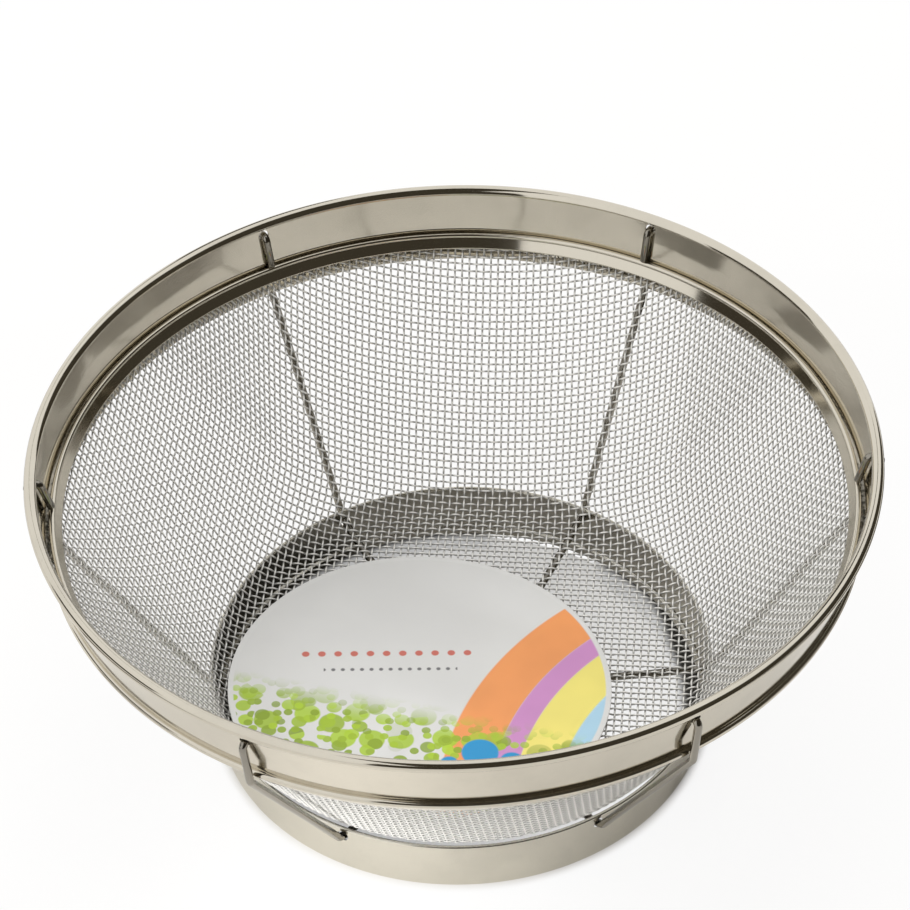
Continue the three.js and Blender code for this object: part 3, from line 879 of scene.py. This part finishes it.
def card_print(p):
    """Coated board with a plain print: ribbons on the right, dots along the front, two dotted rows.

    Places are in card radii from the card's middle, across to the right and up to the back.
    """
    card, tints = p.card, p.tints
    material, finish = new_material("printed_card")
    scale = (1 / card.radius,) * 3
    middle_x, middle_y = arc((0, 0), card.offset, *[math.degrees(card.lean_azimuth)] * 2)[0]
    place = finish.place(scale, (middle_x, middle_y, 0.0))
    across, up, _ = finish.split(place)
    soft, mark_soft = 0.006, 0.004
    mottle = finish.noise(place, 1.6, 3.0, 0.5).between(0.3, 0.7)
    picture = (mottle * 0.5).choose(tints.board, times(tints.board, 0.9))
    # Ribbons: rings round a point off the card's right side
    ring = (across - 2.05).hypot(up + 0.95)
    ribbons = (
        (tints.orange, 1.72, 1.98), (tints.violet, 1.60, 1.72), (tints.yellow, 1.38, 1.60),
        (tints.blue, 0.0, 1.38))
    for colour, low, high in ribbons:
        inside = ring.between(high + soft, high - soft) * ring.between(low - soft, low + soft)
        mottle = finish.noise(place, 3.0, 2.0, 0.5).between(0.3, 0.7) * 0.5
        picture = inside.choose(picture, mottle.choose(colour, times(colour, 0.86)))
    # Dots: one in each cell of a loose pattern, fading out towards the back
    lower = (up * -1.0 - across * 0.28).between(0.12, 0.36)
    for number, (density, size) in enumerate(((5.5, 0.55), (8.5, 0.5), (14.0, 0.48))):
        shifted = finish.place(scale, (middle_x + 0.003 * number, middle_y, 0.0))
        cells = finish.add(
            "ShaderNodeTexVoronoi", {"voronoi_dimensions": "2D"}, {"Vector": shifted, "Scale": density})
        grey = finish.add("ShaderNodeRGBToBW", sockets={"Color": cells.output(1)})
        dot = cells.between(size * 0.72, size * 0.62) * lower * grey.between(0.18, 0.3)
        tone = grey.choose(times(tints.green, 0.4), times(tints.green, 1.4))
        picture = (dot * 0.94).choose(picture, tone)
    for x, y, radius in ((0.30, -0.50, 0.095), (0.46, -0.56, 0.06), (0.14, -0.57, 0.045)):
        disc = (across - x).hypot(up - y).between(radius + soft, radius - soft)
        picture = disc.choose(picture, (0.02, 0.30, 0.62))
    # Two rows of small round marks: height, colour, step, radius, start and end
    rows = (
        (0.24, (0.60, 0.16, 0.12), 0.085, 0.020, -0.62, 0.30),
        (0.12, (0.16, 0.16, 0.17), 0.05, 0.011, -0.5, 0.2))
    for row, colour, step, radius, start, end in rows:
        nearest = (across / step).math("ROUND") * step
        mark = (across - nearest).hypot(up - row).between(radius + mark_soft, radius - mark_soft)
        mark = mark * across.between(start - 0.001, start) * across.between(end, end - 0.001)
        picture = mark.choose(picture, colour)
    picture = across.hypot(up).between(0.965, 0.975).choose(picture, tints.board)
    # Only the upper face is printed; the rim and the back are bare board
    level = finish.split(finish.add("ShaderNodeTexCoord", output=1))[2]
    picture = level.between(0.5, 0.8).choose((0.72, 0.71, 0.68), picture)
    fibre = finish.noise(finish.place(), 2600.0, 2.0, 0.6)
    uneven = finish.bump(finish.noise(finish.place(), 30.0), 1.0, 0.05 * MM)
    finish.end(finish.principled(
        Base_Color=picture, Roughness=fibre * 0.12 + 0.38, Coat_Weight=0.25, Coat_Roughness=0.25,
        Normal=finish.bump(fibre, 0.25, 0.01 * MM, uneven)))
    return material


# Operators

class BuildRim(bpy.types.Operator):
    """Builds the rim band with its wire holes and the clamp ring inside it"""

    bl_idname = "colander.build_rim"
    bl_label = "Rim band and clamp ring"

    def execute(self, context):
        p = plan()
        polished = steel("band_steel", p.tints.band, 0.075, 0.22, 0.2, 0.028 * MM)
        add_shell("band_sheet", band_shell(p), polished, "colander", ["rim_band"])
        add_shell("clamp_sheet", clamp_shell(p), polished, "colander", ["clamp_ring"])
        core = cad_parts["rim_core_wire"]
        core.data.materials.clear()
        core.data.materials.append(steel("core_wire_steel", p.tints.wire, 0.2, 0.3, 0.3, 0.01 * MM))
        return {"FINISHED"}


class BuildCloth(bpy.types.Operator):
    """Weaves the wire cloth of the basket, both families of wires, over the pressed bowl"""

    bl_idname = "colander.build_cloth"
    bl_label = "Woven wire cloth"

    def execute(self, context):
        p = plan()
        woven = cloth_steel(p.tints.net)
        profile = net_profile(p)
        count = math.ceil(profile[0][-1] / p.net.pitch) + 1
        a, b = cloth_net(profile, p.net.pitch, count)
        for family, swap in (("across", False), ("along", True)):
            rings, used, level = cloth_wires(p, profile, a, b, swap)
            filled = np.cumsum(used.sum(axis=1))
            share = np.searchsorted(filled, filled[-1] * np.array([1, 2]) / 3)
            for number, part in enumerate(np.split(np.arange(len(used)), share), 1):
                cloth_piece(f"cloth_{family}_{number}", rings[part], used[part], level[part], woven)
        return {"FINISHED"}


class BuildGuards(bpy.types.Operator):
    """Builds the three guard wires with their hooks, and the foot ring that they pass through"""

    bl_idname = "colander.build_guards"
    bl_label = "Guard wires and foot ring"

    def execute(self, context):
        p = plan()
        drawn = steel("wire_steel", p.tints.wire, 0.08, 0.25, 0.15, 0.01 * MM, (400.0, 400.0, 400.0))
        for name, (ends, middle_height) in GUARD_WIRES.items():
            wire = tube(wire_path(p, ends, middle_height), p.guard.wire / 2)
            new_name = name.replace("guard_wire", "guard")
            add_shell(new_name, wire, drawn, "colander", [name], 60.0)
        sheet = steel("foot_steel", p.tints.foot, 0.16, 0.3, 0.35, 0.02 * MM)
        add_shell("foot_sheet", foot_shell(p), sheet, "colander", ["foot_ring"])
        return {"FINISHED"}


class BuildCard(bpy.types.Operator):
    """Lays the printed card in the bowl, leaning on the wall on one side"""

    bl_idname = "colander.build_card"
    bl_label = "Printed card"

    def execute(self, context):
        p = plan()
        card, edge = p.card, 0.12 * MM
        # The card rests on the floor at one end of a diameter and on the wall at the other. It leans by
        # the angle whose sine is the difference of these two heights over that diameter.
        rest = p.net_half + p.gap
        low = p.net.floor_height + rest
        high = net_height(p, card.offset + card.radius, rest)
        lean = math.asin((high - low) / (2 * card.radius))
        outline = rounded(
            [(0, 0), (card.radius, 0), (card.radius, card.thickness), (0, card.thickness)],
            [0, edge, edge, 0], 20)
        rings = np.linspace(0.15, 0.95, 8)[:, None] * [card.radius, 0.0]
        points, polygons = lathe(np.concatenate([
            outline[:1], rings, outline[1:-1], rings[::-1] + [0.0, card.thickness], outline[-1:]
        ]), 180, closed=False)
        direction = Vector((math.cos(card.lean_azimuth), math.sin(card.lean_azimuth), 0))
        axis = Vector((direction.y, -direction.x, 0))
        middle = direction * card.offset + Vector((0, 0, low + card.radius * math.sin(lean)))
        matrix = np.array(Matrix.Translation(middle) @ Matrix.Rotation(lean, 4, axis))
        disc = (points @ matrix[:3, :3].T + matrix[:3, 3], polygons)
        add_shell("card_disc", disc, card_print(p), "card", ["insert_card"], 50.0)
        return {"FINISHED"}


def new_lamp(kind, name, place, target, power):
    """A lamp at a place, facing a target, that reflections don't show."""
    data = bpy.data.lights.new(name, kind)
    data.energy = power
    lamp = link(name, data)
    lamp.location = place
    lamp.rotation_mode = "QUATERNION"
    lamp.rotation_quaternion = (Vector(target) - Vector(place)).to_track_quat("-Z", "Y")
    lamp.visible_glossy = False
    return data


def panel(name, corners, material, seen=False):
    """A flat four-cornered panel of the stage; one that isn't to be seen only shows in reflections."""
    piece = new_object(name, np.array(corners, float), [np.array([[0, 1, 2, 3]])])
    piece.data.materials.append(material)
    if not seen:
        piece.visible_camera = False
        piece.visible_diffuse = False
        piece.visible_shadow = False


def rectangle(low, high):
    """Corners of a level or upright rectangle, from two opposite ones."""
    first, second = [k for k in range(3) if low[k] != high[k]]
    corners = np.array([low] * 4, float)
    corners[1:3, first] = high[first]
    corners[2:, second] = high[second]
    return corners


def ray_kinds(finish):
    """Two signals: 1 for rays from the camera, and 1 for rays that a bright surface reflects."""
    path = finish.add("ShaderNodeLightPath")
    return [path.output(f"Is {kind} Ray") for kind in ("Camera", "Glossy")]


def stage_surroundings(scene):
    """White to the camera and in reflections; a weaker warm white lights the matt surfaces."""
    scene.world = bpy.data.worlds.new("white_surroundings")
    finish = Finish(scene.world)
    camera, glossy = ray_kinds(finish)
    ambient, white = [
        finish.add("ShaderNodeBackground", sockets={"Color": colour, "Strength": strength})
        for colour, strength in ((WARM_WHITE, 0.3), (WHITE, 1.0))]
    finish.end(finish.mix(camera.larger(glossy), ambient, white), "World")


def stage_floor():
    """White table: even round the foot ring, brighter inside it with painted light, with a painted shadow
    line at the ring's foot.

    away is the distance from the bowl's axis in metres; the foot ring stands on 0.0565 to 0.0575.
    back is 1 behind the bowl's middle. window is a stretch right of the middle without the painted
    shadow line, which has a painted highlight line at the back. Reflections see painted shade, a
    darker table inside the ring, on the left and at the back, and a less bright one near the bowl.
    """
    material, finish = new_material("white_table")
    camera, glossy = ray_kinds(finish)
    x, y, _ = finish.split(finish.place())
    away = x.hypot(y)
    back = y.between(0.01, 0.035)
    window = x.between(0.006, 0.011) * x.between(0.038, 0.031)
    # Painted light on the table inside the ring: lit is a pool of it, brightest right of the middle, and
    # inside spreads it under the bowl's floor.
    lit = (x - 0.036).hypot(y + 0.014).between(0.06, 0.0, 0.45, 0.85)
    inside = (away - back * 0.0035).between(0.0535, 0.0505) * lit
    ring = away.between(0.0575, 0.0565)
    # Painted highlight: a bright line on the table just inside the ring, at its back.
    line = away.between(0.0550, 0.0556) * ring * back * window * 0.95
    # Painted shadow: a dark band on the table at the ring's inner foot, for the camera.
    edge_shade = away.between(0.0500, 0.0520) * (1.0 - window) * camera
    # Painted shade that only reflections see: the table inside the ring darker on the left and at the
    # back.
    wall_shade = x.between(-0.008, -0.03).larger(y.between(0.02, 0.035) * 0.45) * glossy
    shade = edge_shade.larger(wall_shade) * ring * 0.97
    # White shown to the camera: the even backdrop outside the ring, and the painted light and painted
    # highlight inside it.
    shown = (away.between(0.0565, 0.060) * 0.86 + inside).larger(line)
    mirrored = away.between(0.07, 0.13) * 0.5
    share = (camera * shown).larger(glossy * mirrored)
    grain = finish.noise(finish.place(), 400.0) * 0.3
    paper = grain.choose((0.83, 0.815, 0.79), (0.80, 0.785, 0.76))
    # The near-black colour is the painted shadow and painted shade.
    matt = finish.principled(Base_Color=shade.choose(paper, (0.02, 0.018, 0.014)), Roughness=0.6)
    white = finish.add("ShaderNodeEmission", sockets={"Color": WHITE, "Strength": 1.03})
    finish.end(finish.mix(share, matt, white))
    half, level = 3.0, -0.02 * MM
    panel("table_top", rectangle((-half, -half, level), (half, half, level)), material, seen=True)


def stage_panels():
    """Dark panels that only mirrors see, over, before and beside the bowl, and dark sheets on the table
    that paint its shade into reflections.
    """
    dark, finish = new_material("dark_flag")
    finish.end(finish.add(
        "ShaderNodeEmission", sockets={"Color": (0.055, 0.048, 0.036), "Strength": 1.0}))
    flags = {
        "ceiling_flag": rectangle((-0.25, -1.3, 1.15), (1.5, 0.0, 1.15)),
        "front_flag": rectangle((-0.5, -1.3, 0.02), (1.5, -1.3, 1.15)),
        "right_flag": rectangle((0.8, -1.2, 0.0), (0.8, 0.9, 1.1)),
        "left_flag": rectangle((-1.3, -0.42, 0.12), (-1.3, 0.42, 0.62)),
        "back_flag": [(-0.36, 1.2, 0.24), (-0.12, 1.2, 0.24), (-0.08, 1.2, 1.2), (-0.2, 1.2, 1.2)]}
    # Dark sheets just above the table round the bowl: painted shade of the table, seen only in
    # reflections.
    table_shades = {
        "right_table_shade": ((0.115, 0.10), (0.335, -0.22), (0.47, -0.18), (0.24, 0.16)),
        "back_right_table_shade": ((0.045, 0.102), (0.114, 0.10), (0.20, 0.145), (0.05, 0.16)),
        "left_table_shade": ((-0.20, -0.02), (-0.36, 0.0), (-0.47, -0.18), (-0.30, -0.24)),
        "back_left_table_shade": ((-0.098, 0.078), (-0.07, 0.15), (-0.15, 0.14), (-0.155, 0.06))}
    for name, outline in table_shades.items():
        flags[name] = [(x, y, 1.0 * MM) for x, y in outline]
    for name, corners in flags.items():
        panel(name, corners, dark)


def stage_lamps():
    """Four soft lamps round the bowl, and a narrow one on the table at its front left."""
    areas = {
        "key_lamp": ((-0.85, -0.19, 0.62), (0, 0, 0.03), 4.0, (0.9, 0.7)),
        "back_lamp": ((0.1, 0.9, 0.8), (0, 0, 0.04), 5.7, (0.9, 0.5)),
        "front_lamp": ((0.1, -0.9, 0.75), (0, 0, 0.04), 0.8, (0.9, 0.5)),
        "top_lamp": ((0.0, -0.1, 1.1), (0, 0, 0.0), 3.5, (0.5, 0.5))}
    for name, (place, target, power, size) in areas.items():
        area = new_lamp("AREA", name, place, target, power)
        area.shape = "RECTANGLE"
        area.size, area.size_y = size
        area.color = WARM_WHITE
    spot = new_lamp("SPOT", "floor_spot", (-0.35, -0.6, 0.42), (-0.022, -0.062, 0.0), 26.0)
    spot.spot_size, spot.spot_blend, spot.shadow_soft_size = math.radians(9.0), 1.0, 0.03


def stage_camera(scene):
    """The photograph's viewpoint: its place, and its pitch, yaw and roll in radians."""
    pitch, yaw, roll = 0.7418, 0.0007, -0.0357
    focal_pixels, picture_pixels, sensor_width = 3500.0, 910.0, 36.0
    level = math.cos(pitch)
    ahead = Vector((math.sin(yaw) * level, math.cos(yaw) * level, -math.sin(pitch)))
    right = Vector((math.cos(yaw), -math.sin(yaw), 0.0))
    up = right.cross(ahead)
    right_rolled = right * math.cos(roll) + up * math.sin(roll)
    up_rolled = up * math.cos(roll) - right * math.sin(roll)
    data = bpy.data.cameras.new("photo_camera")
    data.sensor_width = sensor_width
    data.lens = focal_pixels / picture_pixels * sensor_width
    data.clip_start, data.clip_end = 0.01, 20.0
    scene.camera = link("photo_camera", data)
    matrix = Matrix((right_rolled, up_rolled, -ahead)).transposed().to_4x4()
    matrix.translation = Vector((0.0, -0.57213, 0.60267))
    scene.camera.matrix_world = matrix


class BuildStage(bpy.types.Operator):
    """Sets the floor, the white surroundings, the studio panels, the lamps and the camera"""

    bl_idname = "colander.build_stage"
    bl_label = "Stage, lamps and camera"

    def execute(self, context):
        scene = context.scene
        scene.view_settings.view_transform = "Standard"
        stage_surroundings(scene)
        stage_floor()
        stage_panels()
        stage_lamps()
        stage_camera(scene)
        return {"FINISHED"}


class ColanderPanel(bpy.types.Panel):
    """Lists the pieces of the colander and their sizes"""

    bl_idname = "VIEW3D_PT_colander"
    bl_label = "Colander"
    bl_space_type = "VIEW_3D"
    bl_region_type = "UI"
    bl_category = "Colander"

    def draw(self, context):
        for operator in OPERATORS:
            self.layout.operator(operator.bl_idname)
        for name in GROUPS:
            group = getattr(context.scene, name)
            box = self.layout.box()
            for key in group.__annotations__:
                box.prop(group, key)


GROUPS = {
    "colander_rim": RimSizes, "colander_net": NetSizes, "colander_guard": GuardSizes,
    "colander_card": CardSizes, "colander_finishes": Finishes}
OPERATORS = (BuildRim, BuildCloth, BuildGuards, BuildCard, BuildStage)


def register():
    """Registers the size groups, the operators and the panel."""
    for name, group in GROUPS.items():
        bpy.utils.register_class(group)
        setattr(bpy.types.Scene, name, bpy.props.PointerProperty(type=group))
    for item in (*OPERATORS, ColanderPanel):
        bpy.utils.register_class(item)


def unregister():
    """Takes back what register did."""
    for item in (ColanderPanel, *reversed(OPERATORS)):
        bpy.utils.unregister_class(item)
    for name, group in reversed(list(GROUPS.items())):
        delattr(bpy.types.Scene, name)
        bpy.utils.unregister_class(group)


def main():
    """Builds every piece and the stage."""
    register()
    bpy.ops.colander.build_rim()
    bpy.ops.colander.build_cloth()
    bpy.ops.colander.build_guards()
    bpy.ops.colander.build_card()
    bpy.ops.colander.build_stage()


if __name__ == "__main__":
    main()
